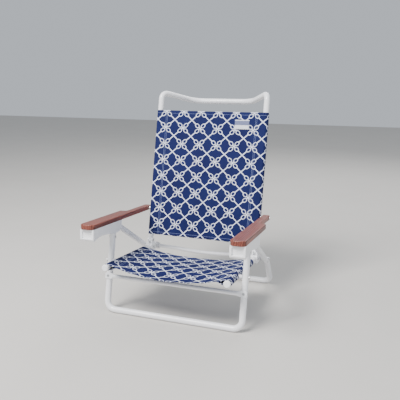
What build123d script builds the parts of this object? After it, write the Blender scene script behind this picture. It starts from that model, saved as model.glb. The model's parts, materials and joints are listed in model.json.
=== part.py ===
from math import cos, degrees, hypot, radians, sin, sqrt, tan
import os

from build123d import *

os.makedirs("parts", exist_ok=True)

# Beach chair: white tube frame, two fabric slings, wooden arms, five back positions.
# X runs across the chair, the front faces -Y, Z is up and the ground is Z = 0.
# The side view is drawn in (y, z) from the front foot; world() moves it to the chair's middle.
# Left and right are the sitter's: left is +X. Pieces are drawn on the left and mirrored.

# ---------------------------------------------------------------- driving dimensions (mm)
TUBE_R = 12.0
TUBE_WALL = 1.0
LEG_X = 277.0
RAIL_X = 239.5
LEAN = 13.5
RAIL_SLOPE = 5.8
BEND_R = 34.0
MIDDLE_Y = 270.18

SEAT_PIVOT_Z = 200.0
PIVOT_SPACING = 299.2
LINK_HEIGHT = 138.0

RAIL_FRONT = -112.0
RAIL_REAR = 342.0
SEAT_SLING_FRONT = -104.0
SEAT_SLING_REAR = 222.0
SLING_T = 1.3
SLING_GAP = 0.3
SEAT_SAG = 26.0
BACK_SAG = 8.0

BACK_TUBE_START = 16.0
BACK_TOP = 662.0
BACK_SLING_START = 27.0
BACK_SLING_END = 580.0
BOW_DEPTH = 152.0
BOW_HALF = 138.0
BOW_DROP = 8.0
TOP_BEND_R = 28.0
BOW_BEND_R = 90.0

REAR_PIVOT = (408.0, 153.0)
REAR_LEG_ANGLE = 32.6
REAR_BEND_REACH = 16.0
REAR_FOOT_Y = 498.0
REAR_LEG_LENGTH = 350.0
REAR_BEND_R = 50.0

BAR_R = 8.0
BAR_END = 252.0
BAR_STRAIGHT = 223.5
PLATE_START = 264.0
PLATE_T = 3.2
PLATE_H = 23.0
FRONT_BAR_DROP = 60.0
REAR_BAR_BOW = 12.0

RUN_GAP = 0.08
PIN_R = 4.0
BOLT_R = 3.0
SPACER_R = 8.0
BUSH_R = 9.0
SLEEVE_HOLE_R = 9.5
RIVET_R = 2.4
RIVET_HEAD = 1.5

EYE_R = 9.0
EYE_HALF = 8.0
EYE_DROP = 19.0
EYE_RIVET_DROP = 47.0

BASE_HALF = 14.5
EAR_HALF = 11.4
EAR_SLOT = 6.4
BASE_TOP = -16.5
WASHER_T = 1.2
WASHER_R = 9.5
TONGUE_HALF = 5.0
CLIP_HALF = 11.5
CLIP_RIVET_S = 328.0

ARM_IN = 258.0
ARM_OUT = 314.0
TAIL_OUT = 288.0
ARM_T = 19.0
ARM_TILT = 4.6
ARM_FRONT = -495.0
ARM_REAR = 17.0
ARM_STEP = -182.0
ARM_CORNER_R = 20.0
TAIL_CORNER_R = 9.0
BOARD_ABOVE_BOLT = 1.8

CHANNEL_IN = 258.2
CHANNEL_OUT = 313.8
CHANNEL_T = 2.2
CHANNEL_FRONT = -486.0
CHANNEL_REAR = -264.0
RACK_IN = 264.2
RACK_OUT = 289.8
RACK_T = 2.5
RACK_WEB = 2.0
RACK_END = 10.5
TOOTH_TIP = 1.6
RECLINE_ANGLES = (0.0, 18.0, 36.0, 54.0, 72.0)
SCREW_R = 2.0
SCREW_HEAD_R = 3.8
SCREW_LENGTH = 11.0

TAG_X = 142.0
TAG_UP = 527.0
TAG_SIZE = (64.0, 40.0)


# ---------------------------------------------------------------- side view points (y, z)
def step(point, length, angle):
    """The point at a length and an angle, measured from +Y towards +Z."""
    return (point[0] + length * cos(radians(angle)), point[1] + length * sin(radians(angle)))


LEG_UP = 90 - LEAN
LEG_BACK = -LEAN
REAR_UP = 180 - REAR_LEG_ANGLE
REAR_OUT = 90 - REAR_LEG_ANGLE
RAIL_UP = 90 - RAIL_SLOPE
ARM_UP = 90 - ARM_TILT
LINK = LINK_HEIGHT / cos(radians(LEAN))

front_ground = (0.0, TUBE_R)
seat_pivot = ((SEAT_PIVOT_Z - TUBE_R) * tan(radians(LEAN)), SEAT_PIVOT_Z)
hinge = (seat_pivot[0] + PIVOT_SPACING, SEAT_PIVOT_Z)
apex = step(seat_pivot, LINK, LEG_UP)
arm_bolt = step(hinge, LINK, LEG_UP)
front_leg_top = step(apex, -EYE_DROP, LEG_UP)
eye_rivet = step(apex, -EYE_RIVET_DROP, LEG_UP)
front_bar = step(step(seat_pivot, -FRONT_BAR_DROP, LEG_UP), -(TUBE_R + PLATE_T / 2), LEG_BACK)
rear_knee = step(REAR_PIVOT, -(TUBE_R + PLATE_T / 2), REAR_OUT)
rear_bend = step(rear_knee, -REAR_BEND_REACH, REAR_UP)
rear_ground = (REAR_FOOT_Y, TUBE_R)
rear_leg_top = step(rear_knee, REAR_LEG_LENGTH, REAR_UP)


def rail(s, h=0.0):
    """Point s behind the seat pivot along the seat rail and h above the rail's centre line."""
    return step(step(seat_pivot, s, -RAIL_SLOPE), h, RAIL_UP)


def back(t, m=0.0):
    """Point t up the back tube from its hinge and m in front of its centre line."""
    return step(step(hinge, t, LEG_UP), -m, LEG_BACK)


def arm(v, w=0.0):
    """Point v behind the arm's bolt and w above the middle of the board."""
    return step(step(step(arm_bolt, BOARD_ABOVE_BOLT, ARM_UP), v, -ARM_TILT), w, ARM_UP)


def world(x, point):
    """A side view point carried to x in the chair's own frame."""
    return (x, point[0] - MIDDLE_Y, point[1])


# ---------------------------------------------------------------- planes and shared shapes
def side(x, point=(0.0, 0.0), angle=0.0):
    """Plane facing +X at a side view point, its local x at an angle in the side view."""
    a = radians(angle)
    return Plane(origin=world(x, point), x_dir=(0, cos(a), sin(a)), z_dir=(1, 0, 0))


def facing(x, point, angle):
    """Plane whose normal points along an angle in the side view, its local x across the chair."""
    a = radians(angle)
    return Plane(origin=world(x, point), x_dir=(1, 0, 0), z_dir=(0, cos(a), sin(a)))


def cylinder(plane, radius, length, mode=Mode.ADD):
    """Cylinder standing on a plane, joined to or cut from the open part."""
    with Locations(plane):
        Cylinder(radius, length, align=(Align.CENTER, Align.CENTER, Align.MIN), mode=mode)


def bore(plane, radius, half_length):
    """Round hole through the open part, centred on a plane."""
    with Locations(plane):
        Cylinder(radius, 2 * half_length, mode=Mode.SUBTRACT)


def rivet(plane, grip):
    """Rivet shank along a plane's normal, with a low head at its far end."""
    cylinder(plane, RIVET_R, grip)
    cylinder(plane.offset(grip), 2 * RIVET_R, RIVET_HEAD)


def save(builder, name):
    """Labels a finished piece and writes it."""
    builder.part.label = name
    export_step(builder.part, f"parts/{name}.step")


def save_pair(builder, name):
    """Writes a left-hand piece and its mirrored right-hand twin."""
    with BuildPart() as twin:
        mirror(builder.part, about=Plane.YZ)
    save(builder, name + "_left")
    save(twin, name + "_right")


def bent_tube(points, radii, bores):
    """Round tube swept along filleted points, with mirrored bores given as (plane, radius, half)."""
    with BuildPart() as tube:
        with BuildLine() as path:
            FilletPolyline(*points, radius=radii)
        with BuildSketch(Plane(origin=path.line @ 0, z_dir=path.line % 0)):
            Circle(TUBE_R)
            Circle(TUBE_R - TUBE_WALL, mode=Mode.SUBTRACT)
        sweep(path=path.line)
        for plane, radius, half in bores:
            bore(plane, radius, half)
            o = plane.origin
            bore(Plane(origin=(-o.X, o.Y, o.Z), z_dir=plane.z_dir), radius, half)
    return tube


def pressed_bar(point, bow_point, plate_angle):
    """Round cross bar, bowed in the middle, with flat riveted ends lying along an angle."""
    reach = LEG_X + TUBE_R - PLATE_START
    with BuildPart() as tip:
        with BuildSketch(side(BAR_END, point, plate_angle)):
            Circle(BAR_R)
        with BuildSketch(side(PLATE_START, point, plate_angle)):
            Rectangle(PLATE_H, PLATE_T)
        loft()
        with BuildSketch(facing(PLATE_START + reach / 2, point, plate_angle + 90)):
            RectangleRounded(reach, PLATE_H, 5)
            with Locations((-reach / 4, 0)):
                Rectangle(reach / 2, PLATE_H)
        extrude(amount=PLATE_T / 2, both=True)
        bore(facing(LEG_X, point, plate_angle + 90), RIVET_R, 2 * PLATE_T)
    with BuildPart() as bar:
        with BuildLine() as path:
            Line(world(-BAR_END, point), world(-BAR_STRAIGHT, point))
            ends = (world(-BAR_STRAIGHT, point), world(0, bow_point), world(BAR_STRAIGHT, point))
            Spline(*ends, tangents=((1, 0, 0), (1, 0, 0)))
            Line(world(BAR_STRAIGHT, point), world(BAR_END, point))
        with BuildSketch(side(-BAR_END, point, plate_angle)):
            Circle(BAR_R)
        sweep(path=path.line)
        add(tip.part)
        mirror(tip.part, about=Plane.YZ)
    return bar


def sling(start, length, sag, hole):
    """Sleeves round two rails joined by a sagging panel, cut round the bolts at a side view point."""
    inner = TUBE_R + SLING_GAP
    outer = inner + SLING_T
    with BuildPart() as cloth:
        with BuildSketch(start):
            with BuildLine():
                ThreePointArc((-RAIL_X, outer), (0, outer - sag), (RAIL_X, outer))
                Line((RAIL_X, outer), (RAIL_X, inner))
                ThreePointArc((RAIL_X, inner), (0, inner - sag), (-RAIL_X, inner))
                Line((-RAIL_X, inner), (-RAIL_X, outer))
            make_face()
            with Locations((-RAIL_X, 0), (RAIL_X, 0)):
                Circle(outer)
            with Locations((-RAIL_X, 0), (RAIL_X, 0)):
                Circle(inner, mode=Mode.SUBTRACT)
        extrude(amount=length)
        cylinder(side(RAIL_X + 4, hole), SLEEVE_HOLE_R, TUBE_R, Mode.SUBTRACT)
        cylinder(side(-RAIL_X - 4 - TUBE_R, hole), SLEEVE_HOLE_R, TUBE_R, Mode.SUBTRACT)
    return cloth


# ---------------------------------------------------------------- front leg
front_leg_tube = bent_tube(
    [
        world(-LEG_X, front_leg_top),
        world(-LEG_X, front_ground),
        world(LEG_X, front_ground),
        world(LEG_X, front_leg_top),
    ],
    (BEND_R, BEND_R),
    [
        (side(LEG_X, seat_pivot), BOLT_R + RUN_GAP, 2 * TUBE_R),
        (side(LEG_X, eye_rivet), RIVET_R, 2 * TUBE_R),
        (facing(LEG_X, step(front_bar, PLATE_T / 2, LEG_BACK), LEG_BACK), RIVET_R, 4.0),
    ],
)
save(front_leg_tube, "front_leg_tube")

front_stretcher = pressed_bar(front_bar, step(front_bar, -2.0, LEG_BACK), LEG_UP)
save(front_stretcher, "front_stretcher")

with BuildPart() as front_bar_rivets:
    inside = step(front_bar, PLATE_T / 2 + TUBE_WALL, LEG_BACK)
    rivet(facing(LEG_X, inside, LEG_BACK + 180), PLATE_T + TUBE_WALL)
    mirror(about=Plane.YZ)
save(front_bar_rivets, "front_stretcher_rivets")

with BuildPart() as leg_eye:
    cylinder(facing(LEG_X, front_leg_top, LEG_UP + 180), TUBE_R - TUBE_WALL, 42.0)
    cylinder(facing(LEG_X, front_leg_top, LEG_UP), TUBE_R, 2.5)
    with BuildSketch(side(LEG_X, apex, LEG_UP)):
        Circle(EYE_R)
        with Locations((-EYE_DROP / 2, 0)):
            Rectangle(EYE_DROP, 2 * EYE_R)
    extrude(amount=EYE_HALF, both=True)
    bore(side(LEG_X, apex), PIN_R, 2 * TUBE_R)
    bore(side(LEG_X, eye_rivet), RIVET_R, 2 * TUBE_R)
save_pair(leg_eye, "front_leg_eye")

with BuildPart() as eye_rivets:
    rivet(side(LEG_X - TUBE_R, eye_rivet), 2 * TUBE_R)
    cylinder(side(LEG_X - TUBE_R - RIVET_HEAD, eye_rivet), 2 * RIVET_R, RIVET_HEAD)
    mirror(about=Plane.YZ)
save(eye_rivets, "front_leg_eye_rivets")

with BuildPart() as apex_pins:
    cylinder(side(RACK_IN - RACK_T, apex), PIN_R, RACK_OUT - RACK_IN + 2 * RACK_T)
    mirror(about=Plane.YZ)
save(apex_pins, "apex_pins")

# ---------------------------------------------------------------- rear leg
rear_leg_tube = bent_tube(
    [
        world(-LEG_X, rear_leg_top),
        world(-LEG_X, rear_bend),
        world(-LEG_X, rear_ground),
        world(LEG_X, rear_ground),
        world(LEG_X, rear_bend),
        world(LEG_X, rear_leg_top),
    ],
    (REAR_BEND_R, BEND_R, BEND_R, REAR_BEND_R),
    [(facing(LEG_X, step(REAR_PIVOT, -PLATE_T / 2, REAR_OUT), REAR_OUT), RIVET_R, 4.0)],
)
save(rear_leg_tube, "rear_leg_tube")

rear_stretcher = pressed_bar(REAR_PIVOT, step(REAR_PIVOT, -REAR_BAR_BOW, 20.0), REAR_UP)
save(rear_stretcher, "rear_stretcher")

with BuildPart() as rear_bar_rivets:
    inside = step(REAR_PIVOT, -PLATE_T / 2 - TUBE_WALL, REAR_OUT)
    rivet(facing(LEG_X, inside, REAR_OUT), PLATE_T + TUBE_WALL)
    mirror(about=Plane.YZ)
save(rear_bar_rivets, "rear_stretcher_rivets")

with BuildPart() as leg_hook:
    cylinder(facing(LEG_X, rear_leg_top, REAR_UP + 180), TUBE_R - TUBE_WALL, 25.0)
    cylinder(facing(LEG_X, rear_leg_top, REAR_UP), TUBE_R, 2.5)
    with BuildSketch(side(LEG_X, rear_leg_top, REAR_UP)):
        with Locations((12.0, 0)):
            Rectangle(24.0, 11.0)
    extrude(amount=7.0, both=True)
    bore(side(LEG_X, apex), EYE_R + 0.3, 2 * TUBE_R)
save_pair(leg_hook, "rear_leg_hook")

# ---------------------------------------------------------------- seat rails and their fittings
rail_front_plane = facing(RAIL_X, rail(RAIL_FRONT), -RAIL_SLOPE)
rail_length = RAIL_REAR - RAIL_FRONT
hinge_s = PIVOT_SPACING * cos(radians(RAIL_SLOPE))
hinge_h = PIVOT_SPACING * sin(radians(RAIL_SLOPE))

with BuildPart() as seat_rail:
    cylinder(rail_front_plane, TUBE_R, rail_length)
    cylinder(rail_front_plane, TUBE_R - TUBE_WALL, rail_length, Mode.SUBTRACT)
    bore(side(RAIL_X, seat_pivot), BOLT_R, 2 * TUBE_R)
    bore(side(RAIL_X, rail(hinge_s)), BOLT_R, 2 * TUBE_R)
    bore(side(RAIL_X, rail(CLIP_RIVET_S)), RIVET_R, 2 * TUBE_R)
save_pair(seat_rail, "seat_rail")

with BuildPart() as rail_caps:
    cylinder(rail_front_plane, TUBE_R - TUBE_WALL, 16.0)
    cylinder(facing(RAIL_X, rail(RAIL_FRONT), 180 - RAIL_SLOPE), TUBE_R + 1.5, 6.0)
    fillet(rail_caps.faces().sort_by(Axis.Y)[0].edges(), 4.0)
    mirror(about=Plane.YZ)
save(rail_caps, "seat_rail_caps")

BOLT_START = RAIL_X - TUBE_R + TUBE_WALL / 2
with BuildPart() as pivot_bolts:
    cylinder(side(BOLT_START, seat_pivot), BOLT_R, LEG_X + TUBE_R + RUN_GAP - BOLT_START)
    cylinder(side(LEG_X + TUBE_R + RUN_GAP, seat_pivot), 6.5, 3.6)
    mirror(about=Plane.YZ)
save(pivot_bolts, "seat_pivot_bolts")

with BuildPart() as pivot_spacers:
    near = RAIL_X + TUBE_R - 1.5
    cylinder(side(near, seat_pivot), SPACER_R, LEG_X - TUBE_R - RUN_GAP - near)
    bore(side(RAIL_X, seat_pivot), BOLT_R, 2 * RAIL_X)
    cylinder(rail_front_plane, TUBE_R, rail_length, Mode.SUBTRACT)
    mirror(about=Plane.YZ)
save(pivot_spacers, "seat_pivot_spacers")

# Hinge base: a block clamped round the rail with two ears at the back's hinge.
with BuildPart() as hinge_base:
    with BuildSketch(side(RAIL_X, hinge, -RAIL_SLOPE)):
        Circle(11.0)
        with BuildLine():
            Polyline((-10.9, 1), (-14, BASE_TOP - 1), (14, BASE_TOP - 1), (10.9, 1), close=True)
        make_face()
    extrude(amount=EAR_HALF, both=True)
    with BuildSketch(side(RAIL_X, hinge, -RAIL_SLOPE)):
        Rectangle(60, -2 * BASE_TOP)
    extrude(amount=EAR_SLOT, both=True, mode=Mode.SUBTRACT)
    with BuildSketch(side(RAIL_X, hinge, -RAIL_SLOPE)):
        with Locations((1, BASE_TOP - 15.5)):
            RectangleRounded(44, 31, 4)
    extrude(amount=BASE_HALF, both=True)
    cylinder(rail_front_plane, TUBE_R, rail_length, Mode.SUBTRACT)
    bore(side(RAIL_X, hinge), PIN_R + RUN_GAP, 2 * TUBE_R)
    bore(side(RAIL_X, rail(hinge_s)), BOLT_R, 2 * TUBE_R)
save_pair(hinge_base, "hinge_base")

PIN_HALF = EAR_HALF + RUN_GAP
with BuildPart() as hinge_pins:
    cylinder(side(RAIL_X - PIN_HALF, hinge), PIN_R, 2 * PIN_HALF)
    cylinder(side(RAIL_X + PIN_HALF, hinge), 7.0, 2.0)
    cylinder(side(RAIL_X - PIN_HALF - 2.0, hinge), 7.0, 2.0)
    mirror(about=Plane.YZ)
save(hinge_pins, "hinge_pins")

with BuildPart() as base_bolts:
    cylinder(side(RAIL_X - BASE_HALF, rail(hinge_s)), BOLT_R, 2 * BASE_HALF)
    cylinder(side(RAIL_X + BASE_HALF, rail(hinge_s)), 5.5, 2.5)
    cylinder(side(RAIL_X - BASE_HALF - 2.5, rail(hinge_s)), 5.5, 2.5)
    mirror(about=Plane.YZ)
save(base_bolts, "hinge_base_bolts")

# Rear clip: a plug in the rail's end and an eye that the rear stretcher turns in.
eye_in_rail = (
    (REAR_PIVOT[0] - rail(RAIL_REAR)[0]) * cos(radians(RAIL_SLOPE))
    - (REAR_PIVOT[1] - rail(RAIL_REAR)[1]) * sin(radians(RAIL_SLOPE)),
    (REAR_PIVOT[0] - rail(RAIL_REAR)[0]) * sin(radians(RAIL_SLOPE))
    + (REAR_PIVOT[1] - rail(RAIL_REAR)[1]) * cos(radians(RAIL_SLOPE)),
)
CLIP_EYE_R = 14.0
with BuildPart() as rail_clip:
    cylinder(facing(RAIL_X, rail(RAIL_REAR), 180 - RAIL_SLOPE), TUBE_R - TUBE_WALL, 30.0)
    with BuildSketch(side(RAIL_X, rail(RAIL_REAR), -RAIL_SLOPE)):
        with BuildLine():
            u, h = eye_in_rail
            Polyline((0, -12), (0, 12), (6, 12), (u, h + CLIP_EYE_R), (u, h - CLIP_EYE_R), close=True)
        make_face()
        with Locations(eye_in_rail):
            Circle(CLIP_EYE_R)
    extrude(amount=CLIP_HALF, both=True)
    bore(side(RAIL_X, REAR_PIVOT), BAR_R + RUN_GAP, 2 * TUBE_R)
    bore(side(RAIL_X, rail(CLIP_RIVET_S)), RIVET_R, 2 * TUBE_R)
save_pair(rail_clip, "rail_clip")

with BuildPart() as clip_rivets:
    rivet(side(RAIL_X - TUBE_R, rail(CLIP_RIVET_S)), 2 * TUBE_R)
    cylinder(side(RAIL_X - TUBE_R - RIVET_HEAD, rail(CLIP_RIVET_S)), 2 * RIVET_R, RIVET_HEAD)
    mirror(about=Plane.YZ)
save(clip_rivets, "rail_clip_rivets")

seat_start = Plane(
    origin=world(0, rail(SEAT_SLING_REAR)),
    x_dir=(1, 0, 0),
    z_dir=(0, -cos(radians(RAIL_SLOPE)), sin(radians(RAIL_SLOPE))),
)
seat_sling = sling(seat_start, SEAT_SLING_REAR - SEAT_SLING_FRONT, SEAT_SAG, seat_pivot)
save(seat_sling, "seat_sling")

# ---------------------------------------------------------------- back
back_top = world(RAIL_X, back(BACK_TOP))
bow = world(BOW_HALF, back(BACK_TOP - BOW_DROP, -BOW_DEPTH))
back_foot = world(RAIL_X, back(BACK_TUBE_START))
back_frame_tube = bent_tube(
    [
        (-back_foot[0], back_foot[1], back_foot[2]),
        (-back_top[0], back_top[1], back_top[2]),
        (-bow[0], bow[1], bow[2]),
        bow,
        back_top,
        back_foot,
    ],
    (TOP_BEND_R, BOW_BEND_R, BOW_BEND_R, TOP_BEND_R),
    [(side(RAIL_X, arm_bolt), BOLT_R, 2 * TUBE_R)],
)
save(back_frame_tube, "back_frame_tube")

with BuildPart() as back_foot_fitting:
    cylinder(facing(RAIL_X, back(BACK_TUBE_START), LEG_UP), TUBE_R - TUBE_WALL, 40.0)
    with BuildSketch(side(RAIL_X, hinge, LEG_UP)):
        Circle(10.0)
        with Locations((BACK_TUBE_START / 2 + 1, 0)):
            Rectangle(BACK_TUBE_START + 2, 18.0)
    extrude(amount=TONGUE_HALF, both=True)
    bore(side(RAIL_X, hinge), PIN_R + RUN_GAP, 2 * TUBE_R)
save_pair(back_foot_fitting, "back_foot_fitting")

with BuildPart() as hinge_washers:
    for x in (RAIL_X - TONGUE_HALF - WASHER_T - 0.1, RAIL_X + TONGUE_HALF + 0.1):
        cylinder(side(x, hinge), WASHER_R, WASHER_T)
    bore(side(RAIL_X, hinge), PIN_R + RUN_GAP, 2 * TUBE_R)
    mirror(about=Plane.YZ)
save(hinge_washers, "hinge_washers")

back_start = Plane(
    origin=world(0, back(BACK_SLING_START)),
    x_dir=(-1, 0, 0),
    z_dir=(0, cos(radians(LEG_UP)), sin(radians(LEG_UP))),
)
back_sling = sling(back_start, BACK_SLING_END - BACK_SLING_START, BACK_SAG, arm_bolt)
save(back_sling, "back_sling")

tag_depth = TUBE_R + SLING_GAP + SLING_T - BACK_SAG * (1 - (TAG_X / RAIL_X) ** 2) + 1.4
tag_tilt = degrees(2 * BACK_SAG * TAG_X / RAIL_X**2)
with BuildPart() as back_tag:
    with BuildSketch(facing(TAG_X, back(TAG_UP, tag_depth), LEG_BACK + 180).rotated((0, -tag_tilt, 0))):
        RectangleRounded(*TAG_SIZE, 2.0)
    extrude(amount=0.8)
save(back_tag, "back_tag")

# ---------------------------------------------------------------- arms
with BuildPart() as arm_bolts:
    cylinder(side(BOLT_START, arm_bolt), BOLT_R, TAIL_OUT + 0.3 - BOLT_START)
    cylinder(side(TAIL_OUT + 0.3, arm_bolt), 7.0, 3.0)
    mirror(about=Plane.YZ)
save(arm_bolts, "arm_pivot_bolts")

with BuildPart() as arm_bush:
    cylinder(side(RAIL_X + TUBE_R + 0.1, arm_bolt), BUSH_R, ARM_IN - RAIL_X - TUBE_R - 0.2)
    bore(side(RAIL_X, arm_bolt), BOLT_R + RUN_GAP, 4 * TUBE_R)
save_pair(arm_bush, "arm_bush")

# Screws through each arm's metalwork: x, station along the board, height of the head's seat.
CHANNEL_UNDER = -ARM_T / 2 - CHANNEL_T
RACK_UNDER = CHANNEL_UNDER - RACK_WEB
SCREWS = ((LEG_X + 9, -455.0, CHANNEL_UNDER), (LEG_X, -356.0, RACK_UNDER), (LEG_X + 9, -272.0, CHANNEL_UNDER))

board_under = facing(0, arm(0, -ARM_T / 2), ARM_UP)
BEND = 1 / sqrt(2)
with BuildPart() as arm_board:
    with BuildSketch(board_under):
        with BuildLine():
            r = ARM_CORNER_R
            q = TAIL_CORNER_R
            Line((ARM_IN, ARM_REAR - q), (ARM_IN, ARM_FRONT + r))
            ThreePointArc(
                (ARM_IN, ARM_FRONT + r),
                (ARM_IN + r * (1 - BEND), ARM_FRONT + r * (1 - BEND)),
                (ARM_IN + r, ARM_FRONT),
            )
            Line((ARM_IN + r, ARM_FRONT), (ARM_OUT - r, ARM_FRONT))
            ThreePointArc(
                (ARM_OUT - r, ARM_FRONT),
                (ARM_OUT - r * (1 - BEND), ARM_FRONT + r * (1 - BEND)),
                (ARM_OUT, ARM_FRONT + r),
            )
            Line((ARM_OUT, ARM_FRONT + r), (ARM_OUT, ARM_STEP))
            ThreePointArc(
                (ARM_OUT, ARM_STEP),
                (ARM_OUT - 10 * (1 - BEND), ARM_STEP + 10 * BEND),
                (ARM_OUT - 10, ARM_STEP + 10),
            )
            ThreePointArc(
                (ARM_OUT - 10, ARM_STEP + 10),
                (TAIL_OUT + 16 * (1 - BEND), ARM_STEP + 26 - 16 * BEND),
                (TAIL_OUT, ARM_STEP + 26),
            )
            Line((TAIL_OUT, ARM_STEP + 26), (TAIL_OUT, ARM_REAR - q))
            ThreePointArc(
                (TAIL_OUT, ARM_REAR - q),
                (TAIL_OUT - q * (1 - BEND), ARM_REAR - q * (1 - BEND)),
                (TAIL_OUT - q, ARM_REAR),
            )
            Line((TAIL_OUT - q, ARM_REAR), (ARM_IN + q, ARM_REAR))
            ThreePointArc(
                (ARM_IN + q, ARM_REAR),
                (ARM_IN + q * (1 - BEND), ARM_REAR - q * (1 - BEND)),
                (ARM_IN, ARM_REAR - q),
            )
        make_face()
    extrude(amount=ARM_T)
    upper = arm_board.faces().filter_by(lambda f: f.normal_at().dot(board_under.z_dir) > 0.99)
    lower = arm_board.faces().filter_by(lambda f: f.normal_at().dot(board_under.z_dir) < -0.99)
    fillet(upper.edges(), 4.0)
    fillet(lower.edges(), 1.5)
    bore(side(TAIL_OUT, arm_bolt), BOLT_R + RUN_GAP, 4 * TUBE_R)
    for x, v, w in SCREWS:
        bore(facing(x, arm(v, -ARM_T / 2), ARM_UP), SCREW_R, SCREW_LENGTH)
save_pair(arm_board, "arm_board")

# Bracket: a channel with its open side down, closed at the front.
channel_width = CHANNEL_OUT - CHANNEL_IN
board_base = -ARM_T / 2
with BuildPart() as arm_bracket:
    with BuildSketch(side(CHANNEL_IN, arm(0), -ARM_TILT)):
        with BuildLine():
            Polyline((CHANNEL_FRONT + 6, -55.3), (CHANNEL_FRONT, -48), (CHANNEL_FRONT, board_base))
            Line((CHANNEL_FRONT, board_base), (CHANNEL_REAR, board_base))
            Polyline((CHANNEL_REAR, board_base), (CHANNEL_REAR, -17), (CHANNEL_REAR - 13, -50))
            Spline((CHANNEL_REAR - 13, -50), (-310, -53.5), (-389, -45.2), (CHANNEL_FRONT + 6, -55.3))
        make_face()
    extrude(amount=channel_width)
    with BuildSketch(side(CHANNEL_IN + CHANNEL_T, arm(0), -ARM_TILT)):
        with Locations((CHANNEL_FRONT + 8, CHANNEL_UNDER)):
            Rectangle(300, 60, align=(Align.MIN, Align.MAX))
    extrude(amount=channel_width - 2 * CHANNEL_T, mode=Mode.SUBTRACT)
    with BuildSketch(side(CHANNEL_IN + 7, arm(0), -ARM_TILT)):
        with Locations((CHANNEL_FRONT - 2, board_base - 7)):
            Rectangle(7, 28, align=(Align.MIN, Align.MAX))
    extrude(amount=channel_width - 14, mode=Mode.SUBTRACT)
    for x, v, w in SCREWS:
        bore(facing(x, arm(v, board_base), ARM_UP), SCREW_R, 4 * CHANNEL_T)
save_pair(arm_bracket, "arm_bracket")

# Position rack: two notched flanges that the apex pin drops into, one notch for each back angle.
tip_z = apex[1] + TOOTH_TIP
arm_bolts_reclined = [step(hinge, LINK, LEG_UP - angle) for angle in RECLINE_ANGLES]
notch_ys = [arm_bolt[0] - hypot(p[0] - apex[0], p[1] - apex[1]) for p in arm_bolts_reclined]
rack_outline = (
    (notch_ys[-1] - RACK_END, tip_z),
    (notch_ys[0] + RACK_END, tip_z),
    arm((notch_ys[0] + RACK_END - arm_bolt[0]), CHANNEL_UNDER),
    arm((notch_ys[-1] - RACK_END - arm_bolt[0]), CHANNEL_UNDER),
)
with BuildPart() as position_rack:
    with BuildSketch(side(RACK_IN - RACK_T)):
        with BuildLine():
            Polyline(*rack_outline, close=True)
        make_face()
        with Locations([(y, apex[1]) for y in notch_ys]):
            Circle(PIN_R + RUN_GAP, mode=Mode.SUBTRACT)
    extrude(amount=RACK_OUT - RACK_IN + 2 * RACK_T)
    with BuildSketch(side(RACK_IN, arm(0), -ARM_TILT)):
        with Locations((-250, RACK_UNDER)):
            Rectangle(250, 60, align=(Align.MAX, Align.MAX))
    extrude(amount=RACK_OUT - RACK_IN, mode=Mode.SUBTRACT)
    bore(facing(LEG_X, arm(SCREWS[1][1], RACK_UNDER), ARM_UP), SCREW_R, 4 * RACK_WEB)
save_pair(position_rack, "position_rack")

with BuildPart() as arm_screws:
    for x, v, w in SCREWS:
        cylinder(facing(x, arm(v, w), ARM_UP), SCREW_R, board_base - w + SCREW_LENGTH - 1)
        cylinder(facing(x, arm(v, w), ARM_UP + 180), SCREW_HEAD_R, 1.8)
save_pair(arm_screws, "arm_screws")
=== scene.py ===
import json
import math

import bmesh
import bpy
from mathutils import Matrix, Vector, noise


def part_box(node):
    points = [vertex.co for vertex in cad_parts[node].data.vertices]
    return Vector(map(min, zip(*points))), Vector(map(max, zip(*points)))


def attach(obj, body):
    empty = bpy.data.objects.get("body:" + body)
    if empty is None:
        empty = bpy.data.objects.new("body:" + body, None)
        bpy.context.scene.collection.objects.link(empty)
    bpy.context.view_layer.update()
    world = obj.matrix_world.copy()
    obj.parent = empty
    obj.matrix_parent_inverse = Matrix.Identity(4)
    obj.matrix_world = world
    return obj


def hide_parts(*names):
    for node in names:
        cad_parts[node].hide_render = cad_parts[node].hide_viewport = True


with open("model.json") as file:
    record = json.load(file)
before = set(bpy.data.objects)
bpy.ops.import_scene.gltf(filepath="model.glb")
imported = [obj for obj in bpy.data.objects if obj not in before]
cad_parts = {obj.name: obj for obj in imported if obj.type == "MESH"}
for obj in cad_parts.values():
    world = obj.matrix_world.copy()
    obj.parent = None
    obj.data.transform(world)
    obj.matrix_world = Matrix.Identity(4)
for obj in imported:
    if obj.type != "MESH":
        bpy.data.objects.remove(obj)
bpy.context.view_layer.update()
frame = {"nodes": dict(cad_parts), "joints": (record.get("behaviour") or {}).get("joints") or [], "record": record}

# ---------------------------------------------------------------- where things are
RAIL_X = 0.2395
LEG_UP = math.radians(76.5)
RAIL_SLOPE = math.radians(5.8)
TUBE_R = 0.012
CLOTH_T = 0.0011
SLEEVE_R = TUBE_R + 0.0003 + CLOTH_T / 2 + 0.0002
SEAM_X = 0.198
SEAT_CLOTH_START = -0.104
SEAT_CLOTH_LENGTH = 0.326
SEAT_CLOTH_SAG = 0.0235
SEAT_FRONT_SAG = 0.0125
FRONT_SAG_REACH = 0.085
BACK_CLOTH_START = 0.027
BACK_CLOTH_LENGTH = 0.553
BACK_CLOTH_SAG = 0.0080
SLEEVE_HOLE_R = 0.0088
LABEL_WIDTH = 0.064
LABEL_HEIGHT = 0.040
LABEL_TILT = math.radians(2.27)
CAMERA_FROM_PIVOT_Y = -1.764285

joints = {j["name"]: j for j in frame["joints"]}
seat_pivot = Vector(joints["front_leg_fold"]["pos_m"])
hinge = Vector(joints["back_fold"]["pos_m"])


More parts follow.
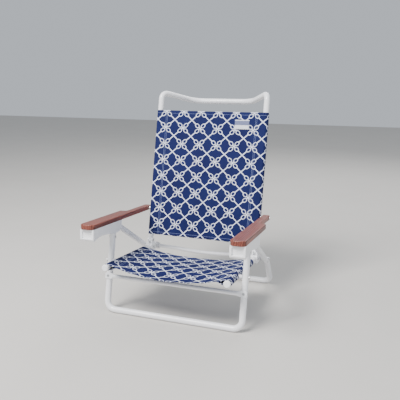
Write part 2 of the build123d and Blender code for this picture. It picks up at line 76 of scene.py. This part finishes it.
# ---------------------------------------------------------------- node helpers
class Nodes:
    """Short calls for building one material's node tree."""

    def __init__(self, name):
        self.material = bpy.data.materials.new(name)
        self.material.use_nodes = True
        self.tree = self.material.node_tree
        self.shader = self.tree.nodes["Principled BSDF"]

    def add(self, kind, **settings):
        node = self.tree.nodes.new(kind)
        for key, value in settings.items():
            setattr(node, key, value)
        return node

    def link(self, source, target):
        self.tree.links.new(source, target)

    def set(self, node, **values):
        for key, value in values.items():
            node.inputs[key.replace("_", " ")].default_value = value

    def math(self, operation, a, b=0.0, c=0.0):
        node = self.add("ShaderNodeMath", operation=operation)
        for socket, value in zip(node.inputs, (a, b, c)):
            if isinstance(value, (int, float)):
                socket.default_value = value
            else:
                self.link(value, socket)
        return node.outputs[0]

    def coords(self, scale=(1, 1, 1)):
        place = self.add("ShaderNodeTexCoord")
        mapping = self.add("ShaderNodeMapping")
        mapping.inputs["Scale"].default_value = scale
        self.link(place.outputs["Object"], mapping.inputs["Vector"])
        return mapping.outputs[0]

    def noise(self, vector, scale, detail=4.0, roughness=0.55, distortion=0.0):
        node = self.add("ShaderNodeTexNoise")
        self.set(node, Scale=scale, Detail=detail, Roughness=roughness, Distortion=distortion)
        self.link(vector, node.inputs["Vector"])
        return node.outputs["Fac"]

    def ramp(self, value, stops):
        node = self.add("ShaderNodeValToRGB")
        ramp = node.color_ramp
        while len(ramp.elements) < len(stops):
            ramp.elements.new(0.5)
        for element, (place, colour) in zip(ramp.elements, stops):
            element.position = place
            element.color = (*colour, 1)
        self.link(value, node.inputs[0])
        return node.outputs[0]

    def mix(self, factor, a, b, blend="MIX"):
        node = self.add("ShaderNodeMix", data_type="RGBA", blend_type=blend)
        for socket, value in ((node.inputs[0], factor), (node.inputs[6], a), (node.inputs[7], b)):
            if isinstance(value, tuple):
                socket.default_value = (*value, 1)
            elif isinstance(value, (int, float)):
                socket.default_value = value
            else:
                self.link(value, socket)
        return node.outputs[2]

    def range(self, value, low, high, to_low, to_high):
        node = self.add("ShaderNodeMapRange")
        self.link(value, node.inputs[0])
        for index, number in enumerate((low, high, to_low, to_high), 1):
            node.inputs[index].default_value = number
        return node.outputs[0]

    def bump(self, height, strength, distance):
        node = self.add("ShaderNodeBump")
        self.set(node, Strength=strength, Distance=distance)
        self.link(height, node.inputs["Height"])
        self.link(node.outputs[0], self.shader.inputs["Normal"])

    def colour(self, socket):
        self.link(socket, self.shader.inputs["Base Color"])

    def roughness(self, socket):
        self.link(socket, self.shader.inputs["Roughness"])


def painted(name, pale, dark, rough, grain, coat):
    """White paint or moulded plastic: faint mottling, orange peel and scuffs."""
    n = Nodes(name)
    place = n.coords()
    mottle = n.noise(place, 14.0, 5.0)
    fine = n.noise(place, grain, 3.0)
    scuff = n.noise(n.coords((1, 1, 5)), 160.0, 2.0, 0.7, 1.2)
    base = n.mix(n.range(mottle, 0.3, 0.75, 0.0, 1.0), pale, dark)
    n.colour(n.mix(n.range(scuff, 0.70, 0.80, 0.0, 0.25), base, (0.45, 0.45, 0.45)))
    n.roughness(n.range(mottle, 0.3, 0.7, rough - 0.06, rough + 0.10))
    n.bump(fine, 0.12, 0.0004)
    n.set(n.shader, Coat_Weight=coat, Coat_Roughness=0.12)
    return n.material


def steel(name):
    n = Nodes(name)
    brushed = n.noise(n.coords((1, 9, 9)), 420.0, 3.0, 0.7)
    blotch = n.noise(n.coords(), 60.0, 3.0)
    n.colour(n.mix(n.range(blotch, 0.3, 0.7, 0.0, 1.0), (0.56, 0.57, 0.59), (0.68, 0.69, 0.70)))
    n.roughness(n.range(brushed, 0.3, 0.7, 0.22, 0.42))
    n.bump(brushed, 0.15, 0.0003)
    n.set(n.shader, Metallic=1.0)
    return n.material


def wood(name):
    """Red-brown stained hardwood, with its grain along the arm and a satin varnish."""
    n = Nodes(name)
    along = n.coords((26.0, 2.2, 26.0))
    warp = n.noise(along, 1.6, 4.0, 0.6, 0.8)
    rings = n.add("ShaderNodeTexWave", wave_type="BANDS", bands_direction="X", wave_profile="SIN")
    n.set(rings, Scale=1.7, Distortion=7.0, Detail=3.0, Detail_Scale=1.3)
    n.link(along, rings.inputs["Vector"])
    pores = n.noise(n.coords((900.0, 34.0, 900.0)), 1.0, 2.0, 0.6)
    streak = n.noise(n.coords((120.0, 5.0, 120.0)), 1.0, 5.0, 0.65, 0.3)
    body = n.ramp(
        n.math("ADD", n.math("MULTIPLY", rings.outputs["Fac"], 0.35), n.math("MULTIPLY", streak, 0.65)),
        [
            (0.25, (0.070, 0.017, 0.012)),
            (0.48, (0.155, 0.040, 0.027)),
            (0.62, (0.240, 0.070, 0.048)),
            (0.80, (0.345, 0.125, 0.090)),
        ],
    )
    shaded = n.mix(n.range(warp, 0.35, 0.7, 0.0, 0.35), body, (0.20, 0.045, 0.028))
    n.colour(n.mix(n.range(pores, 0.62, 0.74, 0.0, 0.55), shaded, (0.10, 0.03, 0.016)))
    n.roughness(n.range(streak, 0.3, 0.7, 0.30, 0.46))
    n.bump(n.math("SUBTRACT", streak, n.math("MULTIPLY", pores, 0.5)), 0.18, 0.0006)
    n.set(n.shader, Coat_Weight=0.12, Coat_Roughness=0.25, Specular_IOR_Level=0.35)
    return n.material


# ---------------------------------------------------------------- printed canvas
KNOT_U = 0.0795
KNOT_V = 0.0710
LINE_W = 0.0040
LOOP_AT = 0.0176
LOOP_A = 0.0100
LOOP_B = 0.0072
LOOP_W = 0.0030
LOOP_SCALE = 0.0080
WEAVE = 0.0009


def from_knot(n, place, pitch):
    """Distance to the nearest knot along one direction of the cloth."""
    steps = n.math("DIVIDE", place, pitch)
    nearest = n.math("ROUND", n.math("DIVIDE", place, pitch))
    return n.math("ABSOLUTE", n.math("MULTIPLY", n.math("SUBTRACT", steps, nearest), pitch))


def canvas(name, across_shift, along_shift, length):
    """Navy canvas with a white rope trellis, in the cloth's own flat coordinates in metres."""
    n = Nodes(name)
    uv = n.add("ShaderNodeUVMap", uv_map="flat")
    split = n.add("ShaderNodeSeparateXYZ")
    n.link(uv.outputs[0], split.inputs[0])
    wobble = n.math("MULTIPLY", n.math("SUBTRACT", n.noise(uv.outputs[0], 260.0, 1.0), 0.5), 0.0009)
    u = n.math("ADD", n.math("ADD", split.outputs[0], across_shift), wobble)
    v = n.math("ADD", n.math("ADD", split.outputs[1], along_shift), wobble)
    p = from_knot(n, u, KNOT_U)
    q = from_knot(n, v, KNOT_V)
    angle = math.atan2(KNOT_V, KNOT_U)
    ca, sa = math.cos(angle), math.sin(angle)
    r = n.math("ADD", n.math("MULTIPLY", p, ca), n.math("MULTIPLY", q, sa))
    t = n.math("ABSOLUTE", n.math("SUBTRACT", n.math("MULTIPLY", q, ca), n.math("MULTIPLY", p, sa)))
    crossing = n.math(
        "ADD",
        n.math("MULTIPLY", n.math("SUBTRACT", KNOT_U / 2, p), sa),
        n.math("MULTIPLY", n.math("SUBTRACT", KNOT_V / 2, q), ca),
    )
    line = n.math("SUBTRACT", t, LINE_W / 2)
    other = n.math("SUBTRACT", crossing, LINE_W / 2)
    in_loop = n.math("SUBTRACT", n.math("ABSOLUTE", n.math("SUBTRACT", r, LOOP_AT)), LOOP_A)
    hidden = n.math("MAXIMUM", line, n.math("MULTIPLY", in_loop, -1.0))
    radius = n.math(
        "SQRT",
        n.math(
            "ADD",
            n.math("POWER", n.math("DIVIDE", n.math("SUBTRACT", r, LOOP_AT), LOOP_A), 2.0),
            n.math("POWER", n.math("DIVIDE", t, LOOP_B), 2.0),
        ),
    )
    off_loop = n.math("ABSOLUTE", n.math("SUBTRACT", radius, 1.0))
    ring = n.math("SUBTRACT", n.math("MULTIPLY", off_loop, LOOP_SCALE), LOOP_W / 2)
    stroke = n.math("MINIMUM", n.math("MINIMUM", hidden, other), ring)
    white = n.range(stroke, -0.00035, 0.00035, 1.0, 0.0)

    warp_thread = n.math("SINE", n.math("MULTIPLY", split.outputs[0], 2 * math.pi / WEAVE))
    weft_thread = n.math("SINE", n.math("MULTIPLY", split.outputs[1], 2 * math.pi / WEAVE))
    weave = n.math("MULTIPLY", warp_thread, weft_thread)
    slub = n.noise(uv.outputs[0], 700.0, 3.0, 0.6)
    shade = n.noise(uv.outputs[0], 9.0, 3.0)
    navy = n.mix(n.range(shade, 0.3, 0.7, 0.0, 1.0), (0.0040, 0.0075, 0.060), (0.0062, 0.0120, 0.082))
    navy = n.mix(n.range(slub, 0.55, 0.8, 0.0, 0.25), navy, (0.018, 0.030, 0.13))
    rope = n.mix(n.range(slub, 0.35, 0.75, 0.0, 1.0), (0.84, 0.87, 0.99), (0.72, 0.76, 0.93))
    cloth = n.mix(white, navy, rope)
    # Painted shade: the cloth colour is darkened where the weave is lowest, in the hollows between threads.
    cloth = n.mix(n.range(weave, -1.0, 1.0, 0.18, 0.0), cloth, (0.01, 0.015, 0.05))

    height = n.math("ADD", n.math("MULTIPLY", weave, 0.5), n.math("MULTIPLY", slub, 0.6))
    across = n.math("ABSOLUTE", split.outputs[0])
    from_edge = n.math("SUBTRACT", length / 2, n.math("ABSOLUTE", split.outputs[1]))
    for place, run, weight in (
        (n.math("ABSOLUTE", n.math("SUBTRACT", across, SEAM_X + 0.002)), split.outputs[1], 1.0),
        (n.math("ABSOLUTE", n.math("SUBTRACT", across, SEAM_X + 0.008)), split.outputs[1], 1.0),
        (n.math("ABSOLUTE", n.math("SUBTRACT", from_edge, 0.012)), split.outputs[0], 1.0),
    ):
        near = n.range(place, 0.0004, 0.0008, weight, 0.0)
        dash = n.range(n.math("SINE", n.math("MULTIPLY", run, 2 * math.pi / 0.0042)), -0.5, -0.1, 0.0, 1.0)
        thread = n.math("MULTIPLY", near, dash)
        cloth = n.mix(n.math("MULTIPLY", thread, 0.8), cloth, (0.30, 0.36, 0.58))
        dip = n.range(place, 0.0, 0.003, -1.6, 0.0)
        height = n.math("ADD", height, n.math("ADD", dip, n.math("MULTIPLY", thread, 1.2)))
    n.colour(cloth)
    n.roughness(n.range(slub, 0.3, 0.7, 0.72, 0.88))
    n.bump(height, 0.45, 0.0004)
    n.set(n.shader, Specular_IOR_Level=0.2)
    return n.material


def label_cloth(name):
    """Blank woven label: pale satin weave with a darker band."""
    n = Nodes(name)
    uv = n.add("ShaderNodeUVMap", uv_map="flat")
    split = n.add("ShaderNodeSeparateXYZ")
    n.link(uv.outputs[0], split.inputs[0])
    diagonal = n.math("ADD", split.outputs[0], split.outputs[1])
    weave = n.math("SINE", n.math("MULTIPLY", diagonal, 2 * math.pi / 0.0008))
    grain = n.noise(uv.outputs[0], 500.0, 3.0)
    base = n.mix(n.range(grain, 0.3, 0.7, 0.0, 1.0), (0.62, 0.64, 0.70), (0.74, 0.76, 0.82))
    band = n.range(n.math("ABSOLUTE", n.math("SUBTRACT", split.outputs[1], 0.007)), 0.0092, 0.0098, 1.0, 0.0)
    n.colour(n.mix(band, base, (0.12, 0.14, 0.26)))
    n.roughness(n.range(grain, 0.3, 0.7, 0.5, 0.7))
    n.bump(n.math("ADD", weave, grain), 0.3, 0.0003)
    n.set(n.shader, Sheen_Weight=0.2)
    return n.material


# ---------------------------------------------------------------- slings
def sleeve_path(sag, steps):
    """Cross-section of a sling as (flat distance, x, height) from its middle to the sleeve's seam."""
    slope = 2 * sag / RAIL_X
    start = math.pi / 2 + math.atan(slope)
    lift = SLEEVE_R * math.sin(start)
    x_end = RAIL_X + SLEEVE_R * math.cos(start)
    points = []
    for i in range(steps + 1):
        x = x_end * i / steps
        points.append((x, lift - sag * (1 - (x / x_end) ** 2)))
    inner = next(p for p in points if p[0] >= SEAM_X)
    end = (SEAM_X, inner[1] - CLOTH_T * 1.6)
    to_end = (end[0] - RAIL_X, end[1])
    away = math.hypot(*to_end)
    finish = math.atan2(to_end[1], to_end[0]) + math.acos(SLEEVE_R / away) - 2 * math.pi
    turns = 28
    for i in range(1, turns + 1):
        a = start + (finish - start) * i / turns
        points.append((RAIL_X + SLEEVE_R * math.cos(a), SLEEVE_R * math.sin(a)))
    last = points[-1]
    for i in range(1, 9):
        points.append((last[0] + (end[0] - last[0]) * i / 8, last[1] + (end[1] - last[1]) * i / 8))
    path, flat = [], 0.0
    for i, point in enumerate(points):
        if i:
            flat += math.dist(point, points[i - 1])
        path.append((flat, *point))
    return path


def make_sling(name, node, origin, along, up, length, sag, front_sag, holes, seed):
    """Builds one sling as a single woven sheet, sleeves and hems included."""
    rows = 120
    columns = 56
    mesh = bpy.data.meshes.new(name)
    bm = bmesh.new()
    flat_layer = bm.loops.layers.uv.new("flat")
    grid = []
    flat_at = []
    for j in range(rows + 1):
        v = j / rows
        edge = min(v, 1 - v) * length
        here = sag + front_sag * math.exp(-((v * length / FRONT_SAG_REACH) ** 2))
        half = sleeve_path(here, columns)
        path = [(-f, -x, h) for f, x, h in reversed(half[1:])] + half
        row = []
        for flat, x, h in path:
            inside = max(0.0, 1 - (abs(flat) / (RAIL_X * 0.98)) ** 6)
            place = Vector((flat * 9, v * length * 5, seed))
            ripple = 0.0016 * noise.noise(place) + 0.0007 * noise.noise(place * 3.1)
            pucker = math.exp(-(((abs(flat) - SEAM_X - 0.005) / 0.010) ** 2))
            ripple += 0.00028 * pucker * math.sin(v * length * 330 + 2.5 * noise.noise(place * 2))
            pull = math.exp(-edge / 0.05) * 0.0009 * math.sin(abs(flat) * 95 + seed)
            hem = 0.0004 if edge < 0.013 else 0.0
            offset = (ripple + pull) * inside + hem * inside
            row.append(bm.verts.new(origin + along * (v * length) + Vector((x, 0, 0)) + up * (h + offset)))
            flat_at.append((flat, (v - 0.5) * length))
        grid.append(row)
    wide = len(grid[0])
    index = {vert: i for i, vert in enumerate(v for row in grid for v in row)}
    for j in range(rows):
        for i in range(wide - 1):
            face = bm.faces.new((grid[j][i], grid[j][i + 1], grid[j + 1][i + 1], grid[j + 1][i]))
            face.smooth = True
            for loop in face.loops:
                loop[flat_layer].uv = flat_at[index[loop.vert]]
    gone = [
        f for f in bm.faces
        for hole in holes
        if abs(abs(f.calc_center_median().x) - RAIL_X - SLEEVE_R) < 0.004
        and (f.calc_center_median() - hole).yz.length < SLEEVE_HOLE_R
    ]
    bmesh.ops.delete(bm, geom=list(set(gone)), context="FACES")
    bm.to_mesh(mesh)
    bm.free()
    piece = bpy.data.objects.new(name, mesh)
    bpy.context.collection.objects.link(piece)
    thick = piece.modifiers.new("thickness", "SOLIDIFY")
    thick.thickness = CLOTH_T
    thick.offset = 0.0
    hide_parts(node)
    return piece, 2 * sleeve_path(sag, columns)[-1][0]


rail_back = Vector((0, math.cos(RAIL_SLOPE), -math.sin(RAIL_SLOPE)))
rail_up = Vector((0, math.sin(RAIL_SLOPE), math.cos(RAIL_SLOPE)))
seat_origin = seat_pivot + rail_back * SEAT_CLOTH_START
seat_sling, seat_width = make_sling(
    "seat_sling_cloth", "seat_sling", seat_origin, rail_back, rail_up,
    SEAT_CLOTH_LENGTH, SEAT_CLOTH_SAG, SEAT_FRONT_SAG, [seat_pivot], 3.0,
)

back_up = Vector((0, math.cos(LEG_UP), math.sin(LEG_UP)))
back_front = Vector((0, -math.sin(LEG_UP), math.cos(LEG_UP)))
back_origin = hinge + back_up * BACK_CLOTH_START
arm_bolt = Vector(joints["arm_fold_left"]["pos_m"])
back_sling, back_width = make_sling(
    "back_sling_cloth", "back_sling", back_origin, back_up, back_front,
    BACK_CLOTH_LENGTH, BACK_CLOTH_SAG, 0.0, [arm_bolt], 8.0,
)

seat_cloth = canvas("seat_canvas", 0.0, 0.031, SEAT_CLOTH_LENGTH)
back_cloth = canvas("back_canvas", -0.034, 0.012, BACK_CLOTH_LENGTH)
seat_sling.data.materials.append(seat_cloth)
back_sling.data.materials.append(back_cloth)
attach(seat_sling, "seat")
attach(back_sling, "back")


# ---------------------------------------------------------------- blank label
def make_label():
    low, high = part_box("back_tag")
    centre = (Vector(low) + Vector(high)) / 2
    across = Vector((math.cos(LABEL_TILT), 0, 0)) + back_front * math.sin(LABEL_TILT)
    mesh = bpy.data.meshes.new("back_label")
    bm = bmesh.new()
    flat_layer = bm.loops.layers.uv.new("flat")
    columns, rows = 24, 16
    grid = []
    for j in range(rows + 1):
        row = []
        for i in range(columns + 1):
            u = (i / columns - 0.5) * LABEL_WIDTH
            v = (j / rows - 0.5) * LABEL_HEIGHT
            rim = min(LABEL_WIDTH / 2 - abs(u), LABEL_HEIGHT / 2 - abs(v))
            puff = 0.0004 * (1 - math.exp(-rim / 0.004)) + 0.00015 * noise.noise(Vector((u * 90, v * 90, 1)))
            place = centre + across * u + back_up * v + back_front * (puff - 0.0004)
            row.append((bm.verts.new(place), (u, v)))
        grid.append(row)
    for j in range(rows):
        for i in range(columns):
            corners = (grid[j][i], grid[j][i + 1], grid[j + 1][i + 1], grid[j + 1][i])
            face = bm.faces.new([c[0] for c in corners])
            face.smooth = True
            for loop, corner in zip(face.loops, corners):
                loop[flat_layer].uv = corner[1]
    bm.to_mesh(mesh)
    bm.free()
    piece = bpy.data.objects.new("back_label", mesh)
    bpy.context.collection.objects.link(piece)
    thick = piece.modifiers.new("thickness", "SOLIDIFY")
    thick.thickness = 0.0006
    thick.offset = 0.0
    piece.data.materials.append(label_cloth("label_weave"))
    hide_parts("back_tag")
    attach(piece, "back")


make_label()

# ---------------------------------------------------------------- finishes on the CAD nodes
finishes = {
    "frame_tube": painted("white_powder_coat", (0.90, 0.90, 0.92), (0.85, 0.855, 0.88), 0.30, 900.0, 0.25),
    "rack_steel": painted("white_rack_paint", (0.86, 0.865, 0.88), (0.80, 0.81, 0.83), 0.38, 800.0, 0.1),
    "white_plastic": painted("white_moulding", (0.90, 0.90, 0.92), (0.84, 0.85, 0.87), 0.46, 1500.0, 0.0),
    "grey_plastic": painted("grey_moulding", (0.72, 0.72, 0.75), (0.64, 0.645, 0.67), 0.48, 1500.0, 0.0),
    "steel": steel("zinc_steel"),
    "arm_wood": wood("stained_wood"),
}
slot_of = {row["node"]: row["material_slot"] for row in frame["record"]["subparts"]}
for node, obj in frame["nodes"].items():
    finish = finishes.get(slot_of[node])
    if finish:
        obj.data.materials.clear()
        obj.data.materials.append(finish)

# ---------------------------------------------------------------- floor, light and camera
floor_mesh = bpy.data.meshes.new("floor")
bm = bmesh.new()
corners = [bm.verts.new((x, y, 0)) for x, y in ((-8, -8), (8, -8), (8, 8), (-8, 8))]
bm.faces.new(corners)
bm.to_mesh(floor_mesh)
bm.free()
floor = bpy.data.objects.new("floor", floor_mesh)
bpy.context.collection.objects.link(floor)
ground = Nodes("pale_floor")
ground.colour(ground.mix(ground.noise(ground.coords(), 3.0), (0.52, 0.50, 0.47), (0.57, 0.55, 0.52)))
ground.set(ground.shader, Roughness=0.9)
floor_mesh.materials.append(ground.material)

world = bpy.data.worlds.new("studio")
bpy.context.scene.world = world
world.use_nodes = True
world.node_tree.nodes["Background"].inputs[0].default_value = (0.86, 0.92, 1.0, 1)
world.node_tree.nodes["Background"].inputs[1].default_value = 0.62


def softbox(name, place, aim, size, power, colour):
    light = bpy.data.lights.new(name, "AREA")
    light.size = size
    light.energy = power
    light.color = colour
    obj = bpy.data.objects.new(name, light)
    obj.location = place
    obj.rotation_euler = (Vector(aim) - Vector(place)).to_track_quat("-Z", "Y").to_euler()
    bpy.context.collection.objects.link(obj)


softbox("key", (-1.2, -2.2, 3.4), (0, 0, 0.3), 1.5, 300, (1.0, 0.985, 0.97))
softbox("fill", (2.8, -1.6, 1.8), (0, 0, 0.4), 2.5, 30, (0.93, 0.96, 1.0))
softbox("back", (0.6, 3.0, 2.6), (0, 0, 0.5), 2.0, 60, (1.0, 1.0, 1.0))

camera_data = bpy.data.cameras.new("camera")
camera_data.lens = 47.54
camera_data.sensor_width = 36.0
camera = bpy.data.objects.new("camera", camera_data)
camera.location = (0.7237, seat_pivot.y + CAMERA_FROM_PIVOT_Y, 0.92394)
camera.rotation_euler = (math.radians(90 - 13.44), 0, math.radians(19.47))
bpy.context.collection.objects.link(camera)
bpy.context.scene.camera = camera

bpy.context.view_layer.update()
